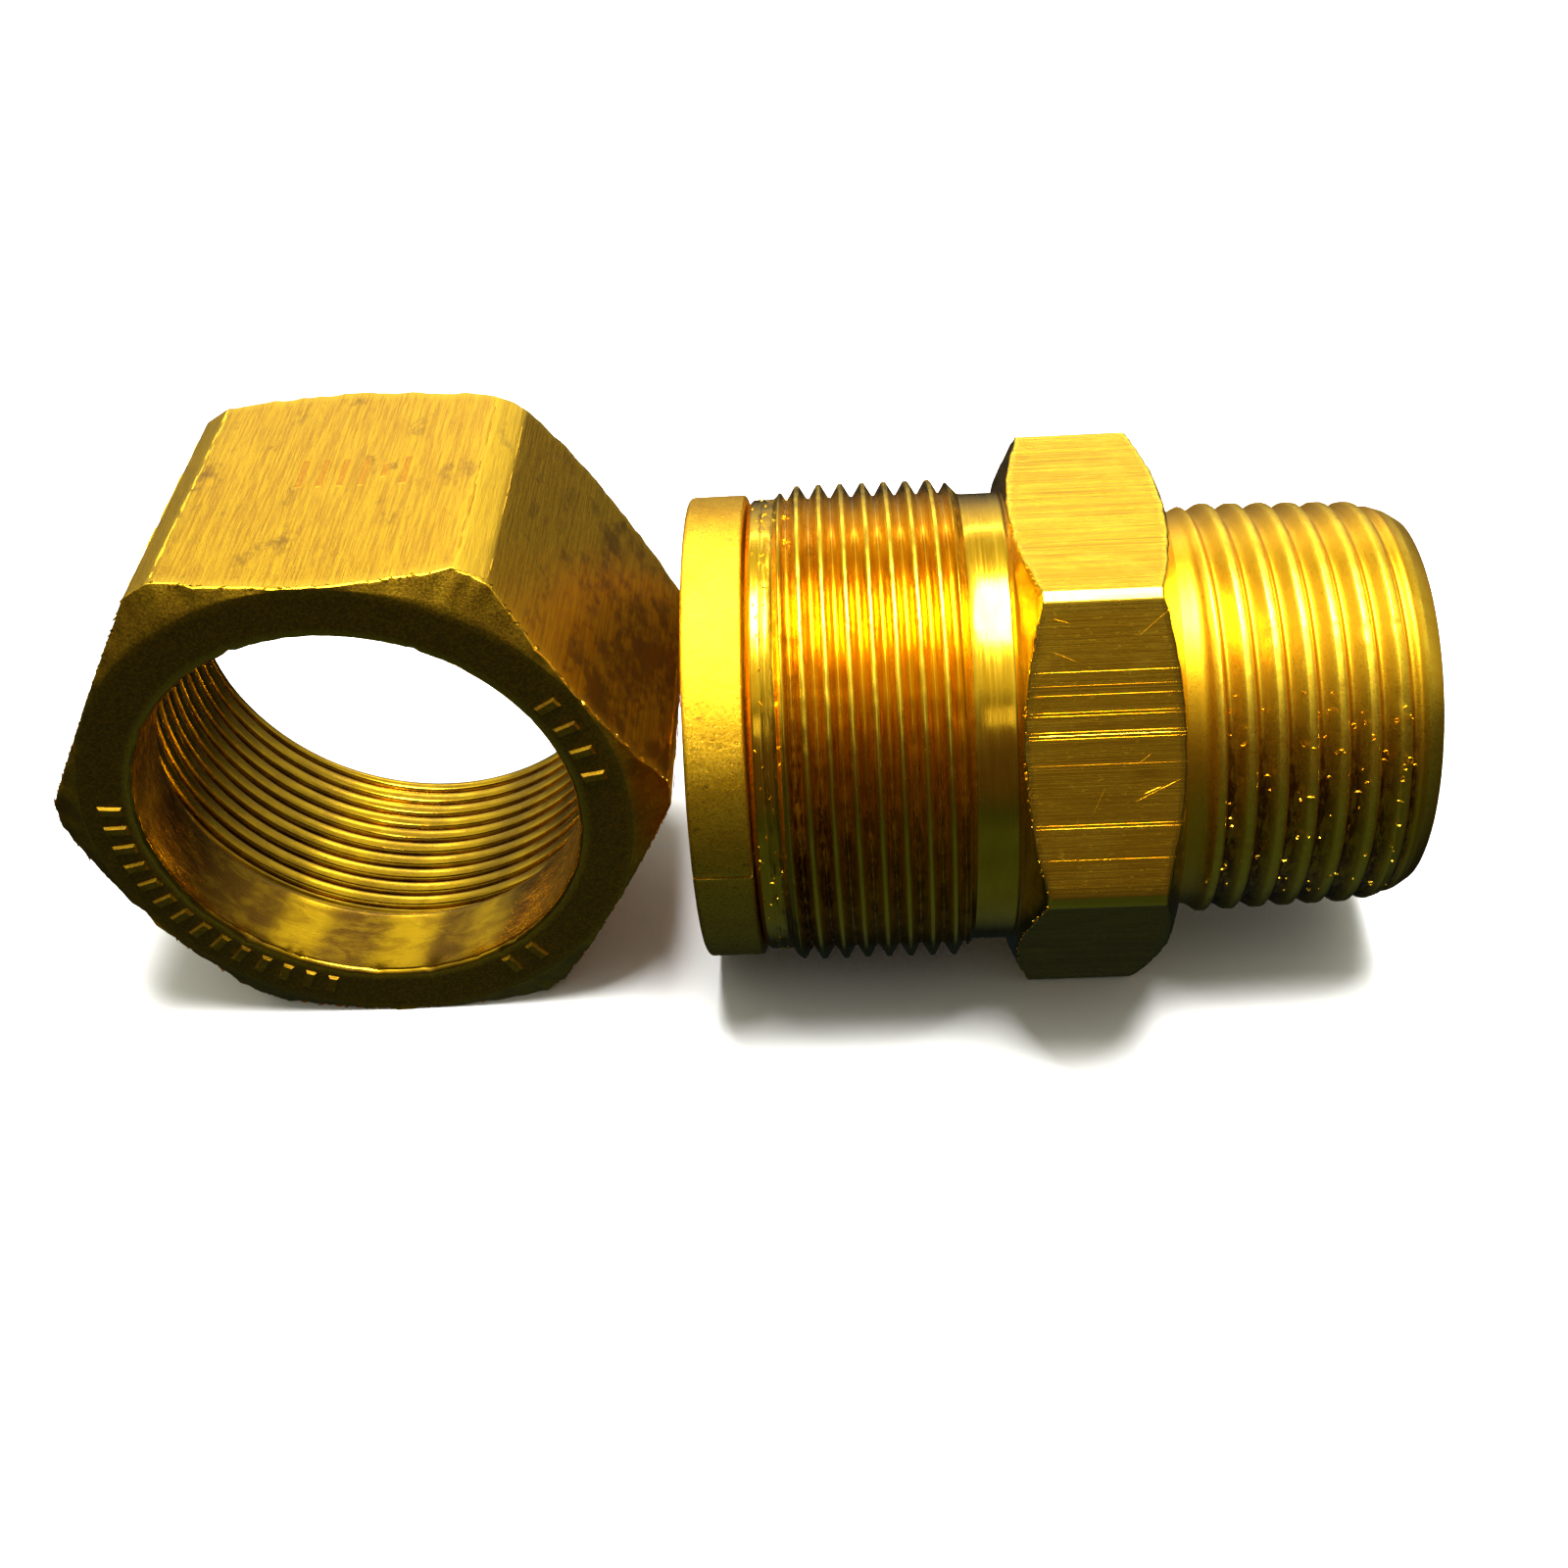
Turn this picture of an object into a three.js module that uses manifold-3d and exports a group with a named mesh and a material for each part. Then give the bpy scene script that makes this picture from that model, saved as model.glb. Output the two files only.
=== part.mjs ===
// Brass union for corrugated gas tubing, taken apart: an adapter body lying on one flat of its hexagon with the split
// bushing still in its socket, and the coupling nut standing on a flat beside it.
// Millimetres. +X runs along the adapter towards its pipe thread, +Z is up, the surface it lies on is z = 0, and the
// origin is the middle of the whole object's footprint.
import * as THREE from "three";
import { mergeVertices } from "three/addons/utils/BufferGeometryUtils.js";
import Module from "manifold-3d";

const INCH = 25.4;
const TURN = 2 * Math.PI;
const FACETS = 36; // flats around every round surface, and steps in one turn of a thread
const PAST = 1; // how far a cutter runs past the face it opens
const GAP = 0.3; // clearance between touching pieces

// Adapter body, measured along its axis from the face that the bushing's flange meets.
const BODY = {
  hexAcrossFlats: 1.25 * INCH,
  hexCornerRadius: 1.4,
  hexChamferAngle: THREE.MathUtils.degToRad(28),
  hexFaceRadius: 15.55,
  collarLength: 2.4,
  collarRadius: 14.85,
  threadEnd: 13.5,
  grooveRadius: 14.65,
  hexStart: 16.05,
  hexLength: 9.6,
  neckLength: 2.2,
  neckRadius: 12.85,
  length: 41.4,
  socketRadius: 13.3,
  socketDepth: 10.4,
  seatTipDepth: 8,
  seatTipRadius: 10.4,
  boreRadius: 9.5,
  edge: 0.4,
};
// 1-1/4 in, 18 to the inch, right hand.
const UNION_THREAD = { pitch: INCH / 18, crestRadius: 15.65, rootRadius: 14.8, taper: 0 };
// 3/4 in taper pipe thread, 14 to the inch, 1 in 32 on the radius.
const PIPE_THREAD = { pitch: INCH / 14, crestRadius: 13.35, rootRadius: 12.15, taper: 1 / 32, endRadius: 11.8 };

// Coupling nut, measured along its axis from the lipped face.
const NUT = {
  acrossFlats: 1.375 * INCH,
  cornerRadius: 3.6,
  chamferAngle: THREE.MathUtils.degToRad(30),
  faceRadius: 17.3,
  length: 22.8,
  lipRadius: 13.85,
  lipLength: 5.8,
  reliefLength: 1.3,
  mouthRadius: 16.6,
  edge: 0.15,
};
const NUT_THREAD = { pitch: INCH / 18, crestRadius: 15.15, rootRadius: 15.95, taper: 0 };

// Split bushing, measured from the body's face: the flange is outside it and the sleeve is inside the socket.
const BUSHING = {
  flangeRadius: 15.2,
  flangeThickness: 3.55,
  sleeveRadius: 13.0,
  sleeveLength: 7,
  entryRadius: 12.5,
  ribRadius: 11.3,
  grooveRadius: 12.2,
  ribWidth: 1.1,
  edge: 0.45,
  splitTilt: THREE.MathUtils.degToRad(-1.5),
};

// Where the pieces lie.
const NUT_TO_FLANGE = 1.58;
const NUT_FRONT_Y = -9.8;

const wasm = await Module();
wasm.setup();

function solid(geometry) {
  const bare = geometry.index ? geometry.toNonIndexed() : geometry.clone();
  bare.deleteAttribute("normal");
  bare.deleteAttribute("uv");
  const merged = mergeVertices(bare);
  return new wasm.Manifold(
    new wasm.Mesh({
      numProp: 3,
      vertProperties: new Float32Array(merged.attributes.position.array),
      triVerts: new Uint32Array(merged.index.array),
    }),
  );
}

function geometryOf(body) {
  const mesh = body.getMesh();
  const geometry = new THREE.BufferGeometry();
  geometry.setAttribute("position", new THREE.BufferAttribute(mesh.vertProperties, 3));
  geometry.setIndex(new THREE.BufferAttribute(mesh.triVerts, 1));
  const facets = geometry.toNonIndexed();
  facets.computeVertexNormals();
  return facets;
}

// A solid of revolution about Y. The outline is [radius, height] pairs from the bottom up on its outside; it is
// closed along the axis.
function turned(outline) {
  const bottom = outline[0][1];
  const top = outline[outline.length - 1][1];
  const points = [[0, bottom], ...outline, [0, top]];
  return solid(new THREE.LatheGeometry(points.map(([radius, y]) => new THREE.Vector2(radius, y)), FACETS));
}

// A hexagon bar along Y with rounded corners and two flats facing up and down.
function hexagonBar(acrossFlats, cornerRadius, length) {
  const steps = 4;
  const cornerCentre = acrossFlats / Math.sqrt(3) - cornerRadius / Math.cos(Math.PI / 6);
  const outline = [];
  for (let corner = 0; corner < 6; corner++) {
    const middle = (corner * Math.PI) / 3;
    for (let step = 0; step <= steps; step++) {
      const angle = middle + (step / steps - 0.5) * (Math.PI / 3);
      outline.push(
        new THREE.Vector2(
          cornerCentre * Math.cos(middle) + cornerRadius * Math.cos(angle),
          cornerCentre * Math.sin(middle) + cornerRadius * Math.sin(angle),
        ),
      );
    }
  }
  const bar = new THREE.ExtrudeGeometry(new THREE.Shape(outline), { depth: length, bevelEnabled: false });
  return solid(bar.rotateX(-Math.PI / 2));
}

// Half the distance across a bar's rounded corners.
function cornerReach(acrossFlats, cornerRadius) {
  return acrossFlats / Math.sqrt(3) - cornerRadius * (1 / Math.cos(Math.PI / 6) - 1);
}

// The solid that a hexagon keeps when both of its ends are chamfered on a lathe.
function chamferEnvelope(faceRadius, chamferAngle, widest, length) {
  const rise = (widest - faceRadius) * Math.tan(chamferAngle);
  return turned([
    [faceRadius, 0],
    [widest, rise],
    [widest, length - rise],
    [faceRadius, length],
  ]);
}

// The right-hand ridge of a thread, a flat-topped V wound around Y from `from` to `to`. Its foot is sunk a little
// into the wall it stands on. An inner thread's ridge points outwards too, and cuts the groove.
function ridge(thread, from, to, sink) {
  const outward = Math.sign(thread.rootRadius - thread.crestRadius) > 0;
  const tip = outward ? thread.rootRadius : thread.crestRadius;
  const foot = outward ? thread.crestRadius : thread.rootRadius;
  const tipHalf = thread.pitch * 0.1;
  const footHalf = thread.pitch * 0.42;
  const section = [
    [foot - sink, -footHalf],
    [foot, -footHalf],
    [tip, -tipHalf],
    [tip, tipHalf],
    [foot, footHalf],
    [foot - sink, footHalf],
  ];
  const count = Math.ceil(((to - from) / thread.pitch) * FACETS);
  const positions = [];
  for (let step = 0; step <= count; step++) {
    const angle = (step / FACETS) * TURN;
    const advance = (step / FACETS) * thread.pitch;
    const narrowing = advance * thread.taper;
    for (const [radius, offset] of section) {
      const reach = radius - narrowing;
      positions.push(reach * Math.sin(angle), from + advance + offset, reach * Math.cos(angle));
    }
  }
  const sides = section.length;
  const index = [];
  for (let step = 0; step < count; step++)
    for (let side = 0; side < sides; side++) {
      const a = step * sides + side;
      const b = step * sides + ((side + 1) % sides);
      index.push(a, b + sides, b, a, a + sides, b + sides);
    }
  for (let side = 1; side < sides - 1; side++) {
    const last = count * sides;
    index.push(0, side, side + 1);
    index.push(last, last + side + 1, last + side);
  }
  const geometry = new THREE.BufferGeometry();
  geometry.setAttribute("position", new THREE.Float32BufferAttribute(positions, 3));
  geometry.setIndex(index);
  return solid(geometry);
}

function adapterBody() {
  const hexEnd = BODY.hexStart + BODY.hexLength;
  const neckEnd = hexEnd + BODY.neckLength;
  const pipeDrop = (BODY.length - neckEnd) * PIPE_THREAD.taper;
  const shaft = turned([
    [BODY.collarRadius - BODY.edge, 0],
    [BODY.collarRadius, BODY.edge],
    [BODY.collarRadius, BODY.collarLength],
    [UNION_THREAD.rootRadius, BODY.collarLength],
    [UNION_THREAD.rootRadius, BODY.threadEnd],
    [BODY.grooveRadius, BODY.threadEnd],
    [BODY.grooveRadius, BODY.hexStart + PAST],
    [BODY.neckRadius, BODY.hexStart + PAST],
    [BODY.neckRadius, neckEnd],
    [PIPE_THREAD.rootRadius, neckEnd],
    [PIPE_THREAD.rootRadius - pipeDrop, BODY.length],
  ]);

  const widest = cornerReach(BODY.hexAcrossFlats, BODY.hexCornerRadius) + PAST;
  const hexagon = hexagonBar(BODY.hexAcrossFlats, BODY.hexCornerRadius, BODY.hexLength)
    .intersect(chamferEnvelope(BODY.hexFaceRadius, BODY.hexChamferAngle, widest, BODY.hexLength))
    .translate([0, BODY.hexStart, 0]);

  const clear = UNION_THREAD.crestRadius + GAP;
  const unionEnvelope = turned([
    [BODY.grooveRadius, BODY.collarLength],
    [clear, BODY.collarLength + clear - BODY.grooveRadius],
    [clear, BODY.threadEnd - clear + BODY.grooveRadius],
    [BODY.grooveRadius, BODY.threadEnd],
  ]);
  const sink = 0.4;
  const unionRidge = ridge(UNION_THREAD, BODY.collarLength, BODY.threadEnd, sink).intersect(unionEnvelope);

  const pipeClear = PIPE_THREAD.crestRadius + GAP;
  const pipeEnvelope = turned([
    [BODY.neckRadius, neckEnd - PIPE_THREAD.pitch / 2],
    [pipeClear, neckEnd + PIPE_THREAD.pitch / 2],
    [pipeClear, BODY.length - pipeClear + PIPE_THREAD.endRadius],
    [PIPE_THREAD.endRadius, BODY.length],
  ]);
  const pipeRidge = ridge(PIPE_THREAD, neckEnd, BODY.length, sink).intersect(pipeEnvelope);

  const seatSlope = BODY.socketDepth - BODY.seatTipDepth;
  const hollow = turned([
    [BODY.socketRadius + BODY.edge, -PAST],
    [BODY.socketRadius + BODY.edge, 0],
    [BODY.socketRadius, BODY.edge],
    [BODY.socketRadius, BODY.socketDepth],
    [BODY.seatTipRadius + seatSlope, BODY.socketDepth],
    [BODY.seatTipRadius, BODY.seatTipDepth],
    [BODY.boreRadius, BODY.seatTipDepth],
    [BODY.boreRadius, BODY.length - BODY.edge],
    [BODY.boreRadius + BODY.edge, BODY.length],
    [BODY.boreRadius + BODY.edge, BODY.length + PAST],
  ]);
  return shaft.add(hexagon).add(unionRidge).add(pipeRidge).subtract(hollow);
}

function couplingNut() {
  const widest = cornerReach(NUT.acrossFlats, NUT.cornerRadius) + PAST;
  const blank = hexagonBar(NUT.acrossFlats, NUT.cornerRadius, NUT.length).intersect(
    chamferEnvelope(NUT.faceRadius, NUT.chamferAngle, widest, NUT.length),
  );
  const threadStart = NUT.lipLength + NUT.reliefLength;
  const hollow = turned([
    [NUT.lipRadius + NUT.edge, -PAST],
    [NUT.lipRadius + NUT.edge, 0],
    [NUT.lipRadius, NUT.edge],
    [NUT.lipRadius, NUT.lipLength],
    [NUT_THREAD.rootRadius, NUT.lipLength],
    [NUT_THREAD.rootRadius, threadStart],
    [NUT_THREAD.crestRadius, threadStart],
    [NUT_THREAD.crestRadius, NUT.length + NUT_THREAD.crestRadius - NUT.mouthRadius],
    [NUT.mouthRadius, NUT.length],
    [NUT.mouthRadius, NUT.length + PAST],
  ]);
  const sink = 0.4;
  const groove = ridge(NUT_THREAD, threadStart, NUT.length + NUT_THREAD.pitch, sink);
  return blank.subtract(hollow).subtract(groove);
}

// One half of the split bushing: the whole ring turned, then kept on one side of the split plane.
function bushingHalf(side) {
  const rib = BUSHING.ribWidth;
  const ring = turned([
    [BUSHING.flangeRadius - BUSHING.edge, -GAP - BUSHING.flangeThickness],
    [BUSHING.flangeRadius, -GAP - BUSHING.flangeThickness + BUSHING.edge],
    [BUSHING.flangeRadius, -GAP - BUSHING.edge / 2],
    [BUSHING.flangeRadius - BUSHING.edge / 2, -GAP],
    [BUSHING.sleeveRadius, -GAP],
    [BUSHING.sleeveRadius, BUSHING.sleeveLength - BUSHING.edge],
    [BUSHING.sleeveRadius - BUSHING.edge, BUSHING.sleeveLength],
  ]);
  const first = BUSHING.sleeveLength - rib;
  const second = first - 3 * rib;
  const bore = turned([
    [BUSHING.entryRadius, -GAP - BUSHING.flangeThickness - PAST],
    [BUSHING.entryRadius, second - rib],
    [BUSHING.ribRadius, second],
    [BUSHING.ribRadius, second + rib],
    [BUSHING.grooveRadius, second + 2 * rib],
    [BUSHING.ribRadius, first],
    [BUSHING.ribRadius, first + rib + PAST],
  ]);
  const reach = BUSHING.flangeRadius + PAST;
  const keep = new THREE.BoxGeometry(2 * reach, 4 * reach, reach)
    .translate(0, 0, side * (reach / 2 + GAP / 2))
    .rotateY(BUSHING.splitTilt);
  return ring.subtract(bore).intersect(solid(keep));
}

function piece(name, body, material) {
  const mesh = new THREE.Mesh(geometryOf(body), new THREE.MeshStandardMaterial(material));
  mesh.name = name;
  return mesh;
}

const MACHINED_BRASS = { color: 0xc9a23a, roughness: 0.25, metalness: 1 };
const FORGED_BRASS = { color: 0xb08a2e, roughness: 0.45, metalness: 1 };
const CAST_BRASS = { color: 0xb8862b, roughness: 0.6, metalness: 1 };

const nutReach = cornerReach(NUT.acrossFlats, NUT.cornerRadius);
const leftOfBody = 2 * nutReach + NUT_TO_FLANGE + BUSHING.flangeThickness + GAP;
const bodyFaceX = leftOfBody - (leftOfBody + BODY.length) / 2;
const nutCentreX = bodyFaceX - leftOfBody + nutReach;

const alongX = new THREE.Group();
alongX.rotation.z = -Math.PI / 2;
alongX.position.set(bodyFaceX, 0, BODY.hexAcrossFlats / 2);
alongX.add(
  piece("adapter_body", adapterBody(), MACHINED_BRASS),
  piece("bushing_half_upper", bushingHalf(1), CAST_BRASS),
  piece("bushing_half_lower", bushingHalf(-1), CAST_BRASS),
);

const nut = piece("coupling_nut", couplingNut(), FORGED_BRASS);
nut.position.set(nutCentreX, NUT_FRONT_Y, NUT.acrossFlats / 2);

const group = new THREE.Group();
group.add(alongX, nut);

export default group;
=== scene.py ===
"""A brass union for corrugated gas tubing, taken apart: the adapter body lies on a flat with the split
bushing in its socket, and the coupling nut stands beside it. Shapes are worked out in millimetres along
and around each piece's own axis, and go into the part's frame in metres."""
import math
import bmesh
import bpy
import numpy as np
from mathutils import Matrix, Vector, noise


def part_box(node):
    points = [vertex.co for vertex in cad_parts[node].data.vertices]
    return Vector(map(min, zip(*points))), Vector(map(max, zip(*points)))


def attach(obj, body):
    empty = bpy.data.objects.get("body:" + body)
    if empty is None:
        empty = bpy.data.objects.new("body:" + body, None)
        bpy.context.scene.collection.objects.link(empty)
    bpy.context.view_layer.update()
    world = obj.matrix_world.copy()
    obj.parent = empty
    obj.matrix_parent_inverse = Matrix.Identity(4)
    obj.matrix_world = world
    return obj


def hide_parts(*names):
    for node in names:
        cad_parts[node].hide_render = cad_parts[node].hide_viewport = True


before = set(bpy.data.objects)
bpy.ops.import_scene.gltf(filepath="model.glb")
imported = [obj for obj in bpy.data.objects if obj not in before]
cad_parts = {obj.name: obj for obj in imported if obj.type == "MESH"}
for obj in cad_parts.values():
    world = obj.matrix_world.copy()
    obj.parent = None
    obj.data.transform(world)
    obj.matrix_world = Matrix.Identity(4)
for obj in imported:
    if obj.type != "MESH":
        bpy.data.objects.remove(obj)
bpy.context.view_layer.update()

MM = 0.001
INCH = 25.4
TURN = 2 * math.pi
SEED = 7
SECTOR = math.pi / 3  # one side of a hexagon
CORNER_SOFTNESS = 0.05

# Adapter body, along its axis from the face that the bushing's flange meets. A thread's SHAPE is where, in
# shares of its pitch, the root ends, the crest begins, the crest ends and the next root begins.
BODY_ACROSS = 1.25 * INCH
BODY_CORNER = 18.11  # the corners are turned off at this distance from the axis
BODY_CHAMFER = math.radians(28)
BODY_HEX_FACE = 15.55
COLLAR_RADIUS = 14.85
COLLAR_END = 1.5
UNION_PITCH = INCH / 18
UNION_CREST = 15.65
UNION_ROOT = 14.8
UNION_SHAPE = (0.05, 0.41, 0.59, 0.95)
UNION_FIRST = 0.76  # where the first turn begins
UNION_TURNS = 9
UNION_END = 13.5
GROOVE_RADIUS = 14.65
HEX_START = 16.05
HEX_END = 25.65
NECK_RADIUS = 12.85
PIPE_START = 27.85
PIPE_PITCH = INCH / 14
PIPE_CREST = 13.38
PIPE_DEPTH = 0.54
PIPE_SHAPE = (0.06, 0.52, 0.78, 0.92)
PIPE_TAPER = 1 / 32  # on the radius
PIPE_FIRST = 26.07  # inside the neck, so that the thread rises out of it
PIPE_TURNS = 8
PIPE_END_RADIUS = 11.85
PIPE_END_SLOPE = 0.75
PIPE_NOSE_START = 38.5
PIPE_NOSE_RADIUS = 13.1
PIPE_NOSE_SLOPE = 0.33
BODY_LENGTH = 41.45
SOCKET_RADIUS = 13.3
SOCKET_DEPTH = 10.4
SEAT_TIP_DEPTH = 8
SEAT_TIP_RADIUS = 10.4
BORE_RADIUS = 9.5

# Coupling nut, along its axis from the lipped face.
NUT_ACROSS = 1.375 * INCH
NUT_CORNER = 19.6  # as on the body
NUT_CHAMFER = math.radians(30)
NUT_FACE = 17.3
NUT_LENGTH = 22.8
LIP_RADIUS = 13.85
LIP_LENGTH = 5.8
RELIEF_END = 7.1
NUT_CREST = 15.15
NUT_ROOT = 15.85
NUT_CROWN = 0.1  # how far the flats between the grooves bulge
NUT_SHAPE = (0.01, 0.12, 0.88, 0.99)
RELIEF_RADIUS = 15.3
NUT_MOUTH = 16.6
NUT_TURNS = 11

# Split bushing, along the same axis as the adapter body.
BUSH_GAP = 0.18
FLANGE_RADIUS = 15.2
FLANGE_THICKNESS = 3.65
SLEEVE_RADIUS = 13.0
SLEEVE_LENGTH = 7
ENTRY_RADIUS = 12.5
RIB_RADIUS = 11.3
RIB_GROOVE_RADIUS = 12.2
RIB_WIDTH = 1.1
SPLIT_TILT = math.radians(1.5)  # of the plane between the halves
SPLIT_GAP = 0.07


nut_low, nut_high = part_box("coupling_nut")
ADAPTER_ORIGIN = np.array([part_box("adapter_body")[0].x / MM, 0, BODY_ACROSS / 2])
NUT_ORIGIN = np.array([(nut_low.x + nut_high.x) / 2 / MM, nut_low.y / MM, NUT_ACROSS / 2])


# ---- Placing ----

def add_object(name, data):
    made = bpy.data.objects.new(name, data)
    bpy.context.scene.collection.objects.link(made)
    return made


def facing(place, aim):
    """A placement at one point that looks at another."""
    turn = (Vector(aim) - Vector(place)).to_track_quat("-Z", "Y").to_matrix().to_4x4()
    return Matrix.Translation(place) @ turn


# ---- Camera ----

CAMERA_PLACE = (0.0086, -0.09777, 0.09345)
CAMERA_AIM = (0.00326, -0.00619, 0.0159)
CAMERA_ROLL = math.radians(4.39)
CAMERA_LENS = 42.98
SENSOR = 36
NEAREST = 0.005


def make_camera():
    data = bpy.data.cameras.new("camera")
    data.lens = CAMERA_LENS
    data.sensor_width = SENSOR
    data.clip_start = NEAREST
    camera = add_object("camera", data)
    camera.matrix_world = facing(CAMERA_PLACE, CAMERA_AIM) @ Matrix.Rotation(-CAMERA_ROLL, 4, "Z")
    bpy.context.scene.camera = camera


# ---- Shape tools ----

def smooth(value, low, high):
    """0 below low, 1 above high, and a soft rise between."""
    t = np.clip((value - low) / (high - low), 0, 1)
    return t * t * (3 - 2 * t)


def soft_min(a, b, width):
    """The smaller of two values, with a rounded change from one to the other."""
    mix = np.clip(0.5 + 0.5 * (b - a) / width, 0, 1)
    return b + (a - b) * mix - width * mix * (1 - mix)


def corner_reach(across, corner):
    """Angle from a hexagon's corner to where its turned-off part meets the flat."""
    return SECTOR / 2 - math.acos(across / 2 / corner)


def hexagon_columns(offset, across, corner, per_corner=8, per_flat=29):
    """Angles of the mesh columns round a hexagon, closer together on its corners."""
    half = 1.2 * corner_reach(across, corner)
    on_corner = np.linspace(-half, half, per_corner, endpoint=False)
    on_flat = np.linspace(half, SECTOR - half, per_flat, endpoint=False)
    sector = np.concatenate([on_corner, on_flat])
    return np.concatenate([offset + side * SECTOR + sector for side in range(6)])


def hexagon_radius(angle, offset, across, corner):
    """Distance from the axis to a hexagon with turned-off corners, at offset plus every 60 degrees."""
    from_corner = (angle - offset + SECTOR / 2) % SECTOR - SECTOR / 2
    flat = (across / 2) / np.cos(SECTOR / 2 - np.abs(from_corner))
    return soft_min(flat, corner, CORNER_SOFTNESS)


def filleted(outline, step):
    """Rows along an outline of (along, radius, fillet) corners, rounded, with long runs divided."""
    corners = [np.array(p[:2], float) for p in outline]
    rows = [corners[0]]
    for index in range(1, len(outline) - 1):
        here = corners[index]
        fillet = outline[index][2]
        back = corners[index - 1] - here
        ahead = corners[index + 1] - here
        length_back = np.linalg.norm(back)
        length_ahead = np.linalg.norm(ahead)
        start = here + back / length_back * min(fillet, 0.45 * length_back)
        end = here + ahead / length_ahead * min(fillet, 0.45 * length_ahead)
        for t in np.linspace(0, 1, 5):
            rows.append((1 - t) ** 2 * start + 2 * t * (1 - t) * here + t * t * end)
    rows.append(corners[-1])
    divided = [rows[0]]
    for last, point in zip(rows, rows[1:]):
        pieces = max(1, math.ceil(np.linalg.norm(point - last) / step))
        for part in range(1, pieces + 1):
            divided.append(last + (point - last) * part / pieces)
    return np.array(divided)


class Skin:
    """The surface of one piece, gathered as rows of points round its axis."""

    def __init__(self, columns):
        self.columns = columns
        self.grids = []

    def add_grid(self, along, radius, angle, zone, wear=0.0, dirt_and_shade=0.0):
        """A sheet of points, rows by columns. A row whose last column closes on its first repeats it."""
        full = np.ones_like(along)
        self.grids.append((along, radius, angle * full, zone, wear * full, dirt_and_shade * full))

    def add_rows(self, along, radius, zone, wear=0.0, dirt_and_shade=0.0):
        """Closed rows. along and radius are one number a row, or one a row and column."""
        count = len(along)
        full = np.ones((count, len(self.columns) + 1))
        angle = np.append(self.columns, self.columns[0] + TURN)[None, :]

        def spread(value):
            value = np.asarray(value, float)
            if value.ndim == 1:
                return value[:, None] * full
            if value.ndim == 2 and value.shape[1] == len(self.columns):
                return np.concatenate([value, value[:, :1]], 1)
            return value * full

        self.add_grid(spread(along), spread(radius), angle, zone, spread(wear), spread(dirt_and_shade))

    def bridge(self, edges, zone):
        """Closed rows through (along, radius) edges, where either may be one number or one a column."""
        full = np.ones(len(self.columns))
        along, radius = (np.stack([value * full for value in values]) for values in zip(*edges))
        self.add_rows(along, radius, zone)

    def add_helix(self, start, pitch, turns, phases, shape, zone):
        """A thread whose rows follow the helix. shape(along, angle, share of a turn) gives its radius, wear
        and dirt with painted shade. Returns the radius all along its last edge."""
        angle = np.append(self.columns, self.columns[0] + TURN)[None, :]
        share = (angle - self.columns[0]) / TURN
        phases = np.asarray(phases)
        steps = np.append(phases, 1.0)
        lead_in = start + pitch * steps[:, None] * share
        rows = np.concatenate([phases + turn for turn in range(turns - 1)] + [[turns - 1.0]])
        body = start + pitch * (rows[:, None] + share)
        lead_out = start + pitch * (turns - 1 + steps[:, None] + (1 - steps[:, None]) * share)
        for along in (lead_in, body, lead_out):
            radius, wear, dirt_and_shade = shape(along, angle, share)
            self.add_grid(along, radius, angle, zone, wear, dirt_and_shade)
        return radius[-1, :-1]

    def add_reversed(self, other):
        """Another skin's rows in the opposite order, so that they face the axis."""
        for along, radius, angle, zone, wear, dirt_and_shade in other.grids:
            turned = [values[::-1] for values in (along, radius, angle, wear, dirt_and_shade)]
            self.grids.append((*turned[:3], zone, *turned[3:]))

    def build(self, name, origin, axis, up, materials):
        """Welds the rows into one closed mesh. up is the direction of angle zero."""
        axis = np.array(axis, float)
        up = np.array(up, float)
        side = np.cross(axis, up)
        points, faces, zones, wears, dirt_and_shade_parts = [], [], [], [], []
        total = 0
        for along, radius, angle, zone, wear, dirt_and_shade in self.grids:
            rows, cols = along.shape
            place = along[..., None] * axis
            place = place + (radius * np.cos(angle))[..., None] * up
            place = place + (radius * np.sin(angle))[..., None] * side
            points.append(place.reshape(-1, 3))
            wears.append(wear.ravel())
            dirt_and_shade_parts.append(dirt_and_shade.ravel())
            ids = total + np.arange(rows * cols).reshape(rows, cols)
            corners = [ids[:-1, :-1], ids[:-1, 1:], ids[1:, 1:], ids[1:, :-1]]
            quads = np.stack(corners, -1).reshape(-1, 4)
            faces.append(quads)
            zones.append(np.full(len(quads), zone))
            total += rows * cols
        points = np.concatenate(points)
        faces = np.concatenate(faces)
        zones = np.concatenate(zones)
        return make_mesh(name, origin + points * MM, faces, zones, materials,
                         np.concatenate(wears), np.concatenate(dirt_and_shade_parts))


WELD = 2e-7  # points closer than this, in metres, become one


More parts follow.
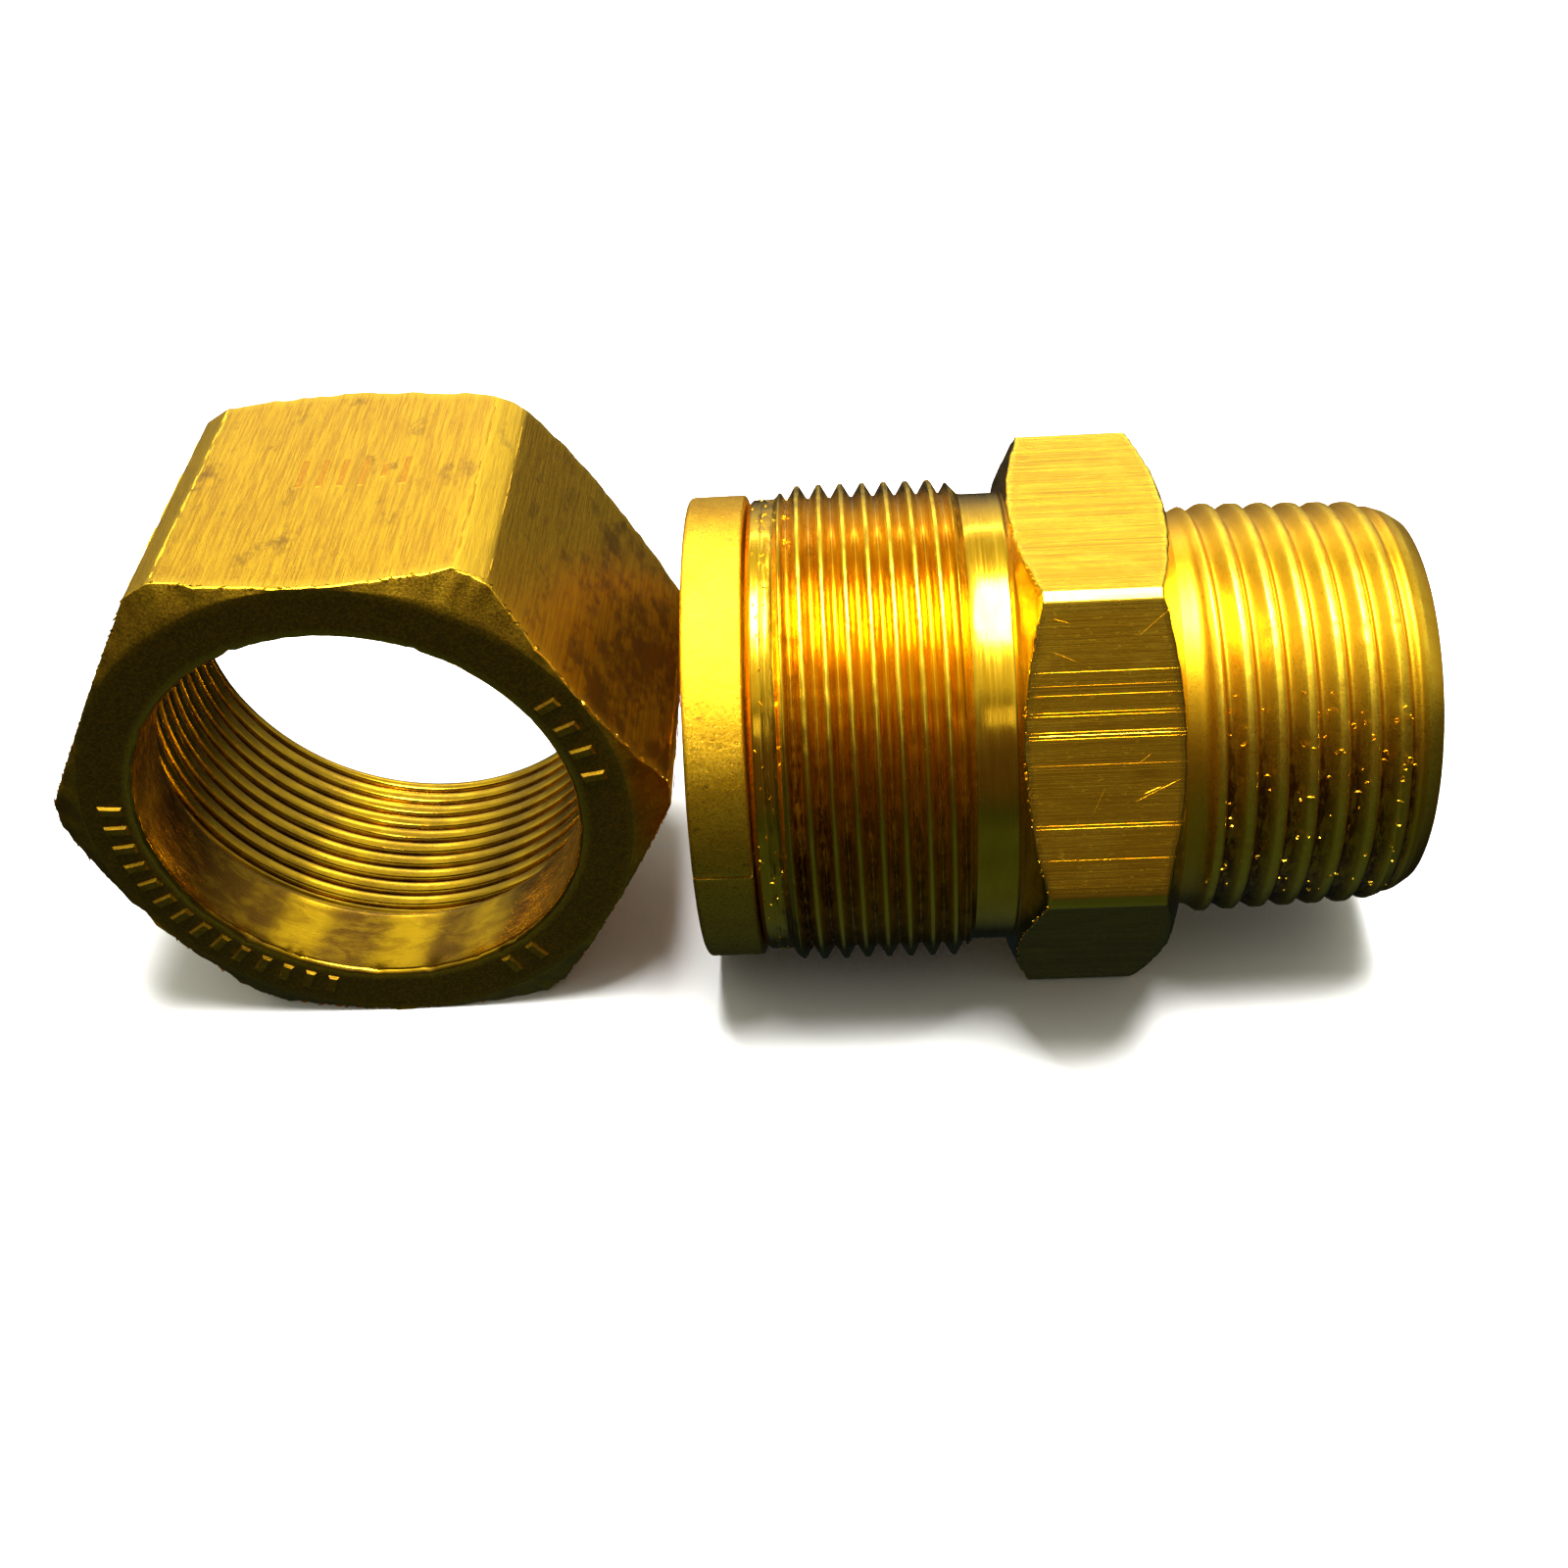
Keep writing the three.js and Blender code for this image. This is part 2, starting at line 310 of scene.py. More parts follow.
def make_mesh(name, points, faces, zones, materials, wear, dirt_and_shade):
    """A welded mesh object with its own shading normals, and wear, and dirt with painted shade, for its
    materials to read.
    """
    cells = np.round(points / WELD).astype(np.int64)
    _, first, same = np.unique(cells, axis=0, return_index=True, return_inverse=True)
    points = points[first]
    wear = wear[first]
    dirt_and_shade = dirt_and_shade[first]
    faces = same.reshape(-1)[faces]
    polygons, kept = [], []
    for face, zone in zip(faces.tolist(), zones.tolist()):
        corners = [c for i, c in enumerate(face) if c != face[i - 1]]
        if len(set(corners)) >= 3:
            polygons.append(corners)
            kept.append(zone)
    mesh = bpy.data.meshes.new(name)
    mesh.from_pydata(points.tolist(), [], polygons)
    mesh.update()
    for label, values in (("wear", wear), ("dirt_and_shade", dirt_and_shade)):
        layer = mesh.attributes.new(label, "FLOAT", "POINT")
        layer.data.foreach_set("value", np.clip(values, 0, 1).astype(np.float32))
    for material in materials:
        mesh.materials.append(material)
    mesh.polygons.foreach_set("material_index", kept)
    mesh.shade_smooth()
    mesh.normals_split_custom_set_from_vertices(area_normals(mesh).tolist())
    return add_object(name, mesh)


def area_normals(mesh):
    """Vertex normals that follow the larger faces, so flats stay flat beside a fillet."""
    normals = np.zeros((len(mesh.vertices), 3))
    face_normal = np.zeros(len(mesh.polygons) * 3)
    area = np.zeros(len(mesh.polygons))
    mesh.polygons.foreach_get("normal", face_normal)
    mesh.polygons.foreach_get("area", area)
    weighted = face_normal.reshape(-1, 3) * area[:, None]
    corner_vertex = np.zeros(len(mesh.loops), int)
    mesh.loops.foreach_get("vertex_index", corner_vertex)
    sizes = np.zeros(len(mesh.polygons), int)
    mesh.polygons.foreach_get("loop_total", sizes)
    np.add.at(normals, corner_vertex, np.repeat(weighted, sizes, axis=0))
    return normals / np.maximum(np.linalg.norm(normals, axis=1, keepdims=True), 1e-20)


def waves(along, angle, radius, size, seed):
    """Smooth random height between about -1 and 1, for points given along and around an axis."""
    across = radius * np.cos(angle)
    up = radius * np.sin(angle)
    flat = np.stack(np.broadcast_arrays(along / size, across / size, up / size), -1).reshape(-1, 3)
    shift = Vector((seed * 13.7, seed * 5.1, seed * 9.3))
    found = [noise.noise(Vector(p) + shift) for p in flat.tolist()]
    return np.array(found).reshape(np.broadcast(along, angle).shape)


def nicks(along, angle, radius, count, low, high, size, depth, seed):
    """Small dents at random places between two distances along the axis."""
    source = np.random.default_rng(seed)
    total = np.zeros(np.broadcast(along, angle).shape)
    for _ in range(count):
        at = source.uniform(low, high)
        turn = source.uniform(0, TURN)
        width = size * source.uniform(0.5, 1.5)
        stretch = source.uniform(0.5, 2.5)
        around = ((angle - turn + math.pi) % TURN - math.pi) * radius
        distance = ((along - at) / (width * stretch)) ** 2 + (around / width) ** 2
        total = total + depth * source.uniform(0.3, 1) * np.exp(-distance)
    return total


# ---- Threads ----

def thread_height(phase, shape):
    """0 at the root and 1 at the crest, over one pitch."""
    return np.interp(phase % 1.0, (0, *shape, 1), (0, 0, 1, 1, 0, 0))


def thread_phases(shape):
    """Rows across one pitch: close together at the edges of the crest and the root, with some between."""
    root_end, crest_start, crest_end, root_start = shape
    edge = 0.022
    rows = [0, root_end, root_start]
    for corner in (crest_start, crest_end):
        rows += [corner - edge, corner + edge]
    for low, high in ((root_end, crest_start), (crest_end, root_start)):
        rows += [low + (high - low) * share for share in (0.25, 0.5, 0.75)]
    spread = (0.2, 0.4, 0.6, 0.8) if crest_end - crest_start > 0.5 else (0.5,)
    rows += [crest_start + (crest_end - crest_start) * share for share in spread]
    return np.array(sorted(rows))


# ---- Adapter body ----

TURNED, DRAWN, CUT = 0, 1, 2
LINES_PER_MM = 9  # left by the tool on the collar
RUN_IN_SLOPE = 0.8
RUN_OUT_SLOPE = 1.1


def union_thread(along, angle, share):
    phase = (along - UNION_FIRST) / UNION_PITCH - share
    height = thread_height(phase, UNION_SHAPE)
    ragged = waves(along, angle, UNION_CREST, 0.45, SEED)
    depth = (UNION_CREST - UNION_ROOT) * (1 + 0.04 * ragged)
    radius = UNION_ROOT + depth * height
    run_in = COLLAR_RADIUS + 0.05 + np.maximum(along - COLLAR_END, 0) * RUN_IN_SLOPE
    run_out = GROOVE_RADIUS + np.maximum(UNION_END - along, 0) * RUN_OUT_SLOPE
    radius = np.minimum(radius, np.minimum(run_in, run_out))
    begun = smooth(along, COLLAR_END - 0.1, COLLAR_END + 0.5)
    turned_lines = waves(along * LINES_PER_MM, 0 * angle, 0, 1, SEED + 3)
    turned_lines = turned_lines * smooth(along, UNION_FIRST, UNION_FIRST + 0.3)
    radius = COLLAR_RADIUS + (radius - COLLAR_RADIUS) * begun + 0.05 * (1 - begun) * turned_lines
    dents = nicks(along, angle, UNION_CREST, 60, COLLAR_END, UNION_END, 0.3, 0.12, 3)
    dents = dents + nicks(along, angle, UNION_CREST, 150, UNION_FIRST + 0.2, COLLAR_END + 2, 0.22, 0.13, 4)
    radius = radius - dents * (0.3 + 0.7 * height) * smooth(along, UNION_FIRST, UNION_FIRST + 0.4)
    # Worn crests are lighter, but less so on the underside, as painted shade.
    wear = smooth(height, 0.75, 1.0) * (0.7 + 0.6 * ragged) * (1 - 0.6 * underside_shade(angle))
    valley = (1 - height) * smooth(-along, -UNION_END, -UNION_END + 0.7)
    near_collar = 1 - smooth(along, COLLAR_END + 1, COLLAR_END + 4.5)
    # Residue in the valleys, most near the collar, plus painted shade in the valleys on the underside.
    dirt_and_shade = begun * valley * (0.08 + 0.45 * near_collar + 0.6 * underside_shade(angle))
    dirt_and_shade = dirt_and_shade + 0.7 * (1 - begun) * smooth(ragged + turned_lines, 0.0, 0.4)
    return radius, wear, dirt_and_shade


def underside_shade(angle):
    """0 on the upper part of the adapter, and 1 from its front downwards, where its threads get painted
    shade: darker valleys and duller crests.
    """
    return smooth(angle % TURN, math.radians(135), math.radians(170))


def pipe_thread(along, angle, share):
    phase = (along - PIPE_FIRST) / PIPE_PITCH - share
    height = thread_height(phase, PIPE_SHAPE)
    crest = PIPE_CREST - (along - PIPE_START) * PIPE_TAPER
    ragged = waves(along, angle, crest, 0.4, SEED + 1)
    full = crest - PIPE_DEPTH * (1 - height) + 0.03 * ragged * smooth(height, 0.6, 1)
    begun = smooth(along, PIPE_START - 1.0, PIPE_START + 0.5)
    radius = NECK_RADIUS + (full - NECK_RADIUS) * begun
    nose = PIPE_NOSE_RADIUS - PIPE_NOSE_SLOPE * (along - PIPE_NOSE_START)
    end = soft_min(nose, PIPE_END_RADIUS + PIPE_END_SLOPE * (BODY_LENGTH - along), 0.15)
    radius = soft_min(radius, end, 0.12)
    radius = radius - nicks(along, angle, crest, 70, PIPE_START, BODY_LENGTH - 1, 0.22, 0.09, 5) * height
    wear = smooth(height, 0.7, 1.0) * begun * (0.7 + 0.6 * ragged)
    # Painted shade: the thread's valleys darkened, most on the underside.
    dirt_and_shade = (1 - height) * begun * smooth(end - radius, 0.0, 0.3) * (0.15 + 0.85 * underside_shade(angle))
    return radius, wear, dirt_and_shade


ROW_STEP = 0.6
BORE_ROW_STEP = 0.9
CONE_ROWS = 6
FLAT_ROWS = 26
EDGE_SOFTNESS = 0.07
EDGE_ROUNDING = ((0.35, 0.035), (0.7, 0.01))  # share of the way over the edge, and drop below the flat
FAR_ROUNDING = ((0.3, 0.01), (0.65, 0.035))
CONE_WEAR = 0.2


def hexagon_rows(skin, start, end, across, corner, face_radius, chamfer, offset, fray, zone_face, zone_flat,
                 seed):
    """A chamfered hexagon's rows: its cone, the edge where cone meets flat, and the flats between."""
    angle = skin.columns[None, :]
    level = np.zeros_like(angle)
    outer = hexagon_radius(angle, offset, across, corner)
    slope = math.tan(chamfer)
    ragged = fray * waves(level, angle, outer, 1.1, seed)
    ragged = ragged + 0.5 * fray * waves(level, angle, outer, 0.35, seed + 1)
    reach = np.maximum((outer - face_radius) * slope, 0.04)
    soft = EDGE_SOFTNESS
    near = start + reach + ragged
    far = end - reach - fray * waves(level, angle, outer, 1.0, seed + 2)

    def cone_radius(share):
        return face_radius + (outer - face_radius - soft / slope * 0.4) * share

    rubbed = 0.8 * smooth(outer, corner - 0.1, corner - 0.03)
    rows = []
    for share in np.linspace(0, 1, CONE_ROWS):
        rows.append((start + (near - soft - start) * share, cone_radius(share), level + CONE_WEAR))
    for share, drop in EDGE_ROUNDING:
        rows.append((near - soft + 2 * soft * share, outer - drop, level + 1))
    for share in np.linspace(0, 1, FLAT_ROWS):
        along = near + soft + (far - near - 2 * soft) * share
        rows.append((along, outer, np.maximum(rubbed, share in (0.0, 1.0))))
    for share, drop in FAR_ROUNDING:
        rows.append((far - soft + 2 * soft * share, outer - drop, level + 1))
    for share in np.linspace(1, 0, CONE_ROWS):
        rows.append((end - (end - far - soft) * share, cone_radius(share), level + CONE_WEAR))
    along, radius, wear = (np.concatenate(values) for values in zip(*rows))
    radius = radius - nicks(along, angle, outer, 70, start, end, 0.22, 0.06, seed)
    radius = radius - nicks(along, angle, outer, 40, start, start + 1.6, 0.25, 0.1, seed + 4)
    last = len(rows) - 1
    far_edge = last - CONE_ROWS
    for first_row, last_row, zone in ((0, CONE_ROWS, zone_face), (CONE_ROWS, far_edge, zone_flat),
                                      (far_edge, last, zone_face)):
        part = slice(first_row, last_row + 1)
        skin.add_rows(along[part], radius[part], zone, wear[part])
    return along[0], radius[0], along[-1], radius[-1]


def make_adapter(materials):
    skin = Skin(hexagon_columns(0, BODY_ACROSS, BODY_CORNER))
    socket_end = (SOCKET_DEPTH, SOCKET_RADIUS - 0.9, 0)
    entry = filleted([
        socket_end, (SOCKET_DEPTH, SOCKET_RADIUS, 0.2), (0.4, SOCKET_RADIUS, 0.1),
        (0, SOCKET_RADIUS + 0.4, 0.1), (0, COLLAR_RADIUS - 0.3, 0.12), (0.3, COLLAR_RADIUS, 0.12),
        (UNION_FIRST, COLLAR_RADIUS, 0)], ROW_STEP)
    skin.add_rows(entry[:, 0], entry[:, 1], TURNED)
    union_rows = thread_phases(UNION_SHAPE)
    run_out = skin.add_helix(UNION_FIRST, UNION_PITCH, UNION_TURNS, union_rows, union_thread, TURNED)
    groove = filleted([(UNION_END + 0.3, GROOVE_RADIUS, 0), (HEX_START - 0.02, GROOVE_RADIUS, 0.25),
                       (HEX_START, BODY_HEX_FACE, 0)], ROW_STEP)
    skin.bridge([(UNION_FIRST + UNION_TURNS * UNION_PITCH, run_out), groove[0]], TURNED)
    skin.add_rows(groove[:, 0], groove[:, 1], TURNED)
    first_along, first_radius, last_along, last_radius = hexagon_rows(
        skin, HEX_START, HEX_END, BODY_ACROSS, BODY_CORNER, BODY_HEX_FACE, BODY_CHAMFER, 0, 0.12, TURNED,
        DRAWN, 11)
    skin.bridge([groove[-1], (first_along, first_radius)], TURNED)
    neck = filleted([(HEX_END, BODY_HEX_FACE - 0.1, 0), (HEX_END, NECK_RADIUS, 0.25),
                     (PIPE_FIRST, NECK_RADIUS, 0)], ROW_STEP)
    skin.bridge([(last_along, last_radius), neck[0]], TURNED)
    skin.add_rows(neck[:, 0], neck[:, 1], TURNED)
    rim = skin.add_helix(PIPE_FIRST, PIPE_PITCH, PIPE_TURNS, thread_phases(PIPE_SHAPE), pipe_thread, CUT)
    tip = filleted([(BODY_LENGTH, PIPE_END_RADIUS - 0.1, 0), (BODY_LENGTH, BORE_RADIUS + 0.4, 0.1),
                    (BODY_LENGTH - 0.4, BORE_RADIUS, 0.15), (SEAT_TIP_DEPTH, BORE_RADIUS, 0.15),
                    (SEAT_TIP_DEPTH, SEAT_TIP_RADIUS, 0.2), socket_end], BORE_ROW_STEP)
    chamfer_end = (BODY_LENGTH - 0.08, PIPE_END_RADIUS + 0.05)
    skin.bridge([(PIPE_FIRST + PIPE_TURNS * PIPE_PITCH, rim), chamfer_end, tip[0]], CUT)
    skin.add_rows(tip[:, 0], tip[:, 1], TURNED)
    piece = skin.build("adapter_detail", ADAPTER_ORIGIN * MM, (1, 0, 0), (0, 1, 0), materials)
    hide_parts("adapter_body")
    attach(piece, "adapter")


# ---- Coupling nut ----

BORED, FORGED, FACE, CONE = 0, 1, 2, 3
NUT_ROW_STEP = 0.4


def nut_thread(along, angle, share):
    phase = (along - RELIEF_END) / UNION_PITCH - share
    height = thread_height(phase, NUT_SHAPE)
    crown = NUT_CROWN * np.sin(phase % 1.0 * math.pi)
    radius = NUT_ROOT - (NUT_ROOT - NUT_CREST - NUT_CROWN) * height - crown * height
    mouth = NUT_MOUTH - (NUT_LENGTH - along)
    begun = smooth(along, RELIEF_END, RELIEF_END + 0.5 * UNION_PITCH)
    radius = RELIEF_RADIUS + (radius - RELIEF_RADIUS) * begun
    radius = -soft_min(-radius, -mouth, 0.12)
    # The bore's film and bright bands, plus painted shade in the narrow grooves between the threads.
    dirt_and_shade = 0.7 * bore_film_and_reflection(angle, along) + 0.6 * (1 - height) * begun
    return radius, smooth(height, 0.8, 1.0), dirt_and_shade


# Bright bands in the bore's film: partly clean metal, partly painted reflection.
CLEAN_AND_REFLECTION_BANDS = ((156, 7), (182, 8), (212, 7))  # middle and half width in degrees
BAND_DRIFT = 0.7  # degrees that a band turns in a millimetre
FILM_AND_SHADE = 0.72


def bore_film_and_reflection(angle, along):
    """Brown film on the bore with bright bands between: partly tarnish and clean metal, partly a painted
    reflection of the room. Angle zero is the top, and it grows towards +X.
    """
    film_and_shade = FILM_AND_SHADE + 0 * angle * along
    for middle, width in CLEAN_AND_REFLECTION_BANDS:
        distance = (np.degrees(angle) - middle + BAND_DRIFT * along + 180) % 360 - 180
        film_and_shade = film_and_shade - FILM_AND_SHADE * np.exp(-(distance / width) ** 4)
    return film_and_shade


def make_nut(materials):
    offset = SECTOR / 2
    columns = hexagon_columns(offset, NUT_ACROSS, NUT_CORNER)
    skin = Skin(columns)
    first_along, first_radius, last_along, last_radius = hexagon_rows(
        skin, 0, NUT_LENGTH, NUT_ACROSS, NUT_CORNER, NUT_FACE, NUT_CHAMFER, offset, 0.3, CONE, FORGED, 23)
    mouth = NUT_MOUTH - 0.03
    back = np.linspace(0, 1, 3)[:, None]
    back_along = last_along + (NUT_LENGTH - last_along) * back
    skin.add_rows(back_along, last_radius + (mouth - last_radius) * back, FACE)
    helix = Skin(columns)
    nut_rows = thread_phases(NUT_SHAPE)
    entry = helix.add_helix(RELIEF_END, UNION_PITCH, NUT_TURNS, nut_rows, nut_thread, BORED)
    skin.add_reversed(helix)
    skin.bridge([(NUT_LENGTH, mouth), (RELIEF_END + NUT_TURNS * UNION_PITCH, entry)], BORED)
    inner = filleted([
        (RELIEF_END, RELIEF_RADIUS, 0), (LIP_LENGTH + 0.9, RELIEF_RADIUS, 0.2),
        (LIP_LENGTH, LIP_RADIUS, 0.4), (0.3, LIP_RADIUS, 0.2), (0.02, LIP_RADIUS + 0.28, 0)], NUT_ROW_STEP)
    bore_along = inner[:, :1] + 0 * columns
    rim_nicks = nicks(bore_along, columns[None, :], LIP_RADIUS, 90, -0.2, 0.5, 0.22, 0.12, 31)
    rim = np.exp(-bore_along / 0.25)
    skin.add_rows(bore_along, inner[:, 1:] + rim_nicks, BORED, rim, bore_film_and_reflection(columns[None, :], bore_along))
    front = np.linspace(0, 1, 7)[:, None]
    rim_along = bore_along[-1] * (1 - front)
    rim_radius = inner[-1, 1] + rim_nicks[-1]
    face_along = rim_along + first_along * front
    skin.add_rows(face_along, rim_radius + (first_radius - rim_radius) * front, FACE)
    piece = skin.build("nut_detail", NUT_ORIGIN * MM, (0, 1, 0), (0, 0, 1), materials)
    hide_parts("coupling_nut")
    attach(piece, "nut")


# ---- Split bushing ----

CAST = 0
BUSH_ROW_STEP = 0.45
BUSH_COLUMNS = 150


def bushing_outline():
    left = -BUSH_GAP - FLANGE_THICKNESS
    middle = (FLANGE_RADIUS + ENTRY_RADIUS) / 2
    first = SLEEVE_LENGTH - RIB_WIDTH
    second = first - 3 * RIB_WIDTH
    return filleted([
        (left, middle, 0), (left, FLANGE_RADIUS, 0.35),
        (-BUSH_GAP, FLANGE_RADIUS, 0.2), (-BUSH_GAP, SLEEVE_RADIUS, 0.15),
        (SLEEVE_LENGTH, SLEEVE_RADIUS, 0.3), (SLEEVE_LENGTH, RIB_RADIUS, 0.2),
        (first, RIB_RADIUS, 0.25), (second + 2 * RIB_WIDTH, RIB_GROOVE_RADIUS, 0.4),
        (second + RIB_WIDTH, RIB_RADIUS, 0.25), (second, RIB_RADIUS, 0.25),
        (second - RIB_WIDTH, ENTRY_RADIUS, 0.3), (left, ENTRY_RADIUS, 0.25),
        (left, middle, 0)], BUSH_ROW_STEP)


def make_bushing_half(name, node, body, start_angle, seed, materials):
    outline = bushing_outline()
    margin = math.asin(SPLIT_GAP / FLANGE_RADIUS)
    end_angle = start_angle + math.pi
    angles = np.linspace(start_angle + margin, end_angle - margin, BUSH_COLUMNS)[None, :]
    along = outline[:, :1] + 0 * angles
    radius = outline[:, 1:] + 0 * angles
    rough = waves(along, angles, radius, 0.55, seed) * 0.02
    rough = rough + waves(along, angles, radius, 3.0, seed + 1) * 0.03
    outward = smooth(radius, FLANGE_RADIUS - 0.6, FLANGE_RADIUS - 0.1)
    radius = radius + rough * outward
    edge = smooth(np.abs(angles - start_angle - math.pi / 2), math.pi / 2 - 0.03, math.pi / 2)
    skin = Skin(angles[0])
    skin.add_grid(along, radius, angles, CAST, edge)
    piece = skin.build(name, ADAPTER_ORIGIN * MM, (1, 0, 0), (0, 1, 0), materials)
    close_ends(piece)
    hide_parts(node)
    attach(piece, body)


def close_ends(piece):
    """Fills the two split faces of a bushing half."""
    work = bmesh.new()
    work.from_mesh(piece.data)
    open_edges = [edge for edge in work.edges if edge.is_boundary]
    bmesh.ops.holes_fill(work, edges=open_edges, sides=0)
    bmesh.ops.recalc_face_normals(work, faces=work.faces)
    work.to_mesh(piece.data)
    work.free()
    piece.data.set_sharp_from_angle(angle=math.radians(40))


# ---- Burrs, scratches and marks ----

class Slivers:
    """Thin raised burrs and scratches. Each is a tapered three-sided sliver, closed, lying on a surface."""

    def __init__(self, seed):
        self.source = np.random.default_rng(seed)
        self.points = []
        self.faces = []

    def add(self, path, outward, width, height):
        path = np.asarray(path, float)
        outward = np.asarray(outward, float) * np.ones_like(path)
        side = np.cross(np.gradient(path, axis=0), outward)
        side = side / np.linalg.norm(side, axis=1, keepdims=True)
        taper = np.clip(2 * np.sin(np.linspace(0.05, 0.95, len(path)) * math.pi), 0, 1)[:, None]
        base = path - outward * 0.03
        rows = np.stack([base + side * width / 2 * taper, path + outward * height * taper,
                         base - side * width / 2 * taper], 1)
        first = len(self.points)
        self.points += rows.reshape(-1, 3).tolist()
        for row in range(len(path) - 1):
            start = first + 3 * row
            for corner in range(3):
                after = (corner + 1) % 3
                self.faces.append((start + corner, start + 3 + corner, start + 3 + after, start + after))
        last = first + 3 * (len(path) - 1)
        self.faces += [(first, first + 1, first + 2), (last + 2, last + 1, last)]

    def add_bar(self, centre, along, outward, length, width, height):
        """A small raised bar with sloping sides."""
        centre, along, outward = (np.asarray(v, float) for v in (centre, along, outward))
        across = np.cross(outward, along)
        first = len(self.points)
        for level, shrink in ((-0.05, 1.0), (height, 0.6)):
            for a, b in ((-1, -1), (1, -1), (1, 1), (-1, 1)):
                reach = length / 2 - (1 - shrink) * width / 2
                self.points.append((centre + along * a * reach + across * b * width / 2 * shrink
                                    + outward * level).tolist())
        self.faces.append(tuple(first + i for i in (3, 2, 1, 0)))
        self.faces.append(tuple(first + i for i in (4, 5, 6, 7)))
        for corner in range(4):
            after = (corner + 1) % 4
            self.faces.append((first + corner, first + after, first + 4 + after, first + 4 + corner))

    def build(self, name, material, body, slot):
        mesh = bpy.data.meshes.new(name)
        mesh.from_pydata((np.array(self.points) * MM).tolist(), [], self.faces)
        mesh.materials.append(material)
        piece = add_object(name, mesh)
        work = bmesh.new()
        work.from_mesh(mesh)
        bmesh.ops.recalc_face_normals(work, faces=work.faces)
        work.to_mesh(mesh)
        work.free()
        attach(piece, body)
        return piece


def adapter_point(along, angle, radius):
    """A point on the adapter in millimetres of the part's frame, and the way straight out from its axis."""
    out = np.stack([0 * angle, np.cos(angle), np.sin(angle)], -1)
    point = out * np.asarray(radius)[..., None] + ADAPTER_ORIGIN
    point[..., 0] += along
    return point, out


def curl(slivers, along, angle, radius, length, bend, heading, width, height):
    """A short curved sliver on a round surface."""
    t = np.linspace(-0.5, 0.5, 6)
    turn = heading + bend * t
    step = length * t
    around = angle + step * np.sin(turn) / radius
    point, out = adapter_point(along + step * np.cos(turn), around, radius + 0 * t)
    slivers.add(point, out, width, height)


# Lines left along the drawn bar on the hexagon's front face: millimetres down the face from its middle, and
# width.
DIE_LINES = (
    (-4.7, 0.07), (-3.9, 0.03), (-3.35, 0.05), (-2.35, 0.04), (-2.15, 0.05), (-1.2, 0.06), (-1.0, 0.11),
    (-0.8, 0.06), (0.75, 0.03), (4.3, 0.04), (4.5, 0.07), (6.4, 0.03))
# Scratches on the same face: from and to, along the adapter and down the face.
SCRATCHES = (
    (22.8, -6.6, 24.6, -8.1), (20.0, 3.8, 20.9, 1.9), (23.0, 2.6, 24.0, 2.2), (22.6, 0.9, 23.5, 0.2),
    (22.6, 3.0, 25.1, 1.8), (17.9, -5.9, 19.4, -5.2), (19.0, 4.6, 19.2, 3.9), (18.0, -7.8, 18.9, -7.5))
FRONT_FACE = math.radians(150)
PIPE_BURRS = 90
COLLAR_BURRS = 90
EDGE_BURRS = 150


def make_adapter_burrs(material):
    slivers = Slivers(51)
    source = slivers.source
    normal = np.array([0, math.cos(FRONT_FACE), math.sin(FRONT_FACE)])
    down = np.array([0, -math.sin(FRONT_FACE), math.cos(FRONT_FACE)])
    middle, _ = adapter_point(np.array(0.0), np.array(FRONT_FACE), np.array(BODY_ACROSS / 2))

    def on_face(along, drop):
        return middle + np.array([1, 0, 0]) * along + down * drop

    for drop, width in DIE_LINES:
        inset = 0.1 + 0.017 * drop * drop
        path = np.linspace(on_face(HEX_START + 0.25 + inset, drop), on_face(HEX_END - inset, drop), 30)
        slivers.add(path, normal, width, 0.02)
    for along, drop, along_end, drop_end in SCRATCHES:
        path = np.linspace(on_face(along, drop), on_face(along_end, drop_end), 6)
        slivers.add(path, normal, 0.08, 0.035)
    for _ in range(PIPE_BURRS):
        curl(slivers, source.uniform(PIPE_START, BODY_LENGTH - 2), math.radians(source.uniform(138, 205)),
             PIPE_CREST - 0.3 * source.uniform(0.2, 1), source.uniform(0.15, 0.6), source.uniform(-2.5, 2.5),
             source.uniform(0, math.pi), 0.07, 0.06)
    for _ in range(COLLAR_BURRS):
        curl(slivers, source.uniform(0.3, COLLAR_END + 1), math.radians(source.uniform(50, 230)),
             COLLAR_RADIUS, source.uniform(0.15, 0.4), source.uniform(-1, 1),
             source.normal(math.pi / 2, 0.6), 0.14, 0.07)
    for _ in range(EDGE_BURRS):
        turn = math.radians(source.uniform(60, 250))
        outer = float(hexagon_radius(np.array(turn), 0, BODY_ACROSS, BODY_CORNER))
        edge = HEX_START + max((outer - BODY_HEX_FACE) * math.tan(BODY_CHAMFER), 0.04)
        curl(slivers, edge + source.uniform(-0.1, 0.12), turn, outer - 0.03, source.uniform(0.1, 0.35), 0.5,
             source.uniform(0.9, 2.2), 0.09, 0.05)
    slivers.build("adapter_burrs", material, "adapter", "machined_brass")


# Plain raised bars on the nut's lipped face: from and to in degrees from +X towards the top, and how many.
FACE_BARS = ((175, 252, 14), (10, 32, 4), (-60, -52, 2))
BAR_RADIUS = 15.5
BAR_SIZE = (1.6, 0.8, 0.16)
CHAMFER_BURRS = 320
RIDGE_BURRS = 26


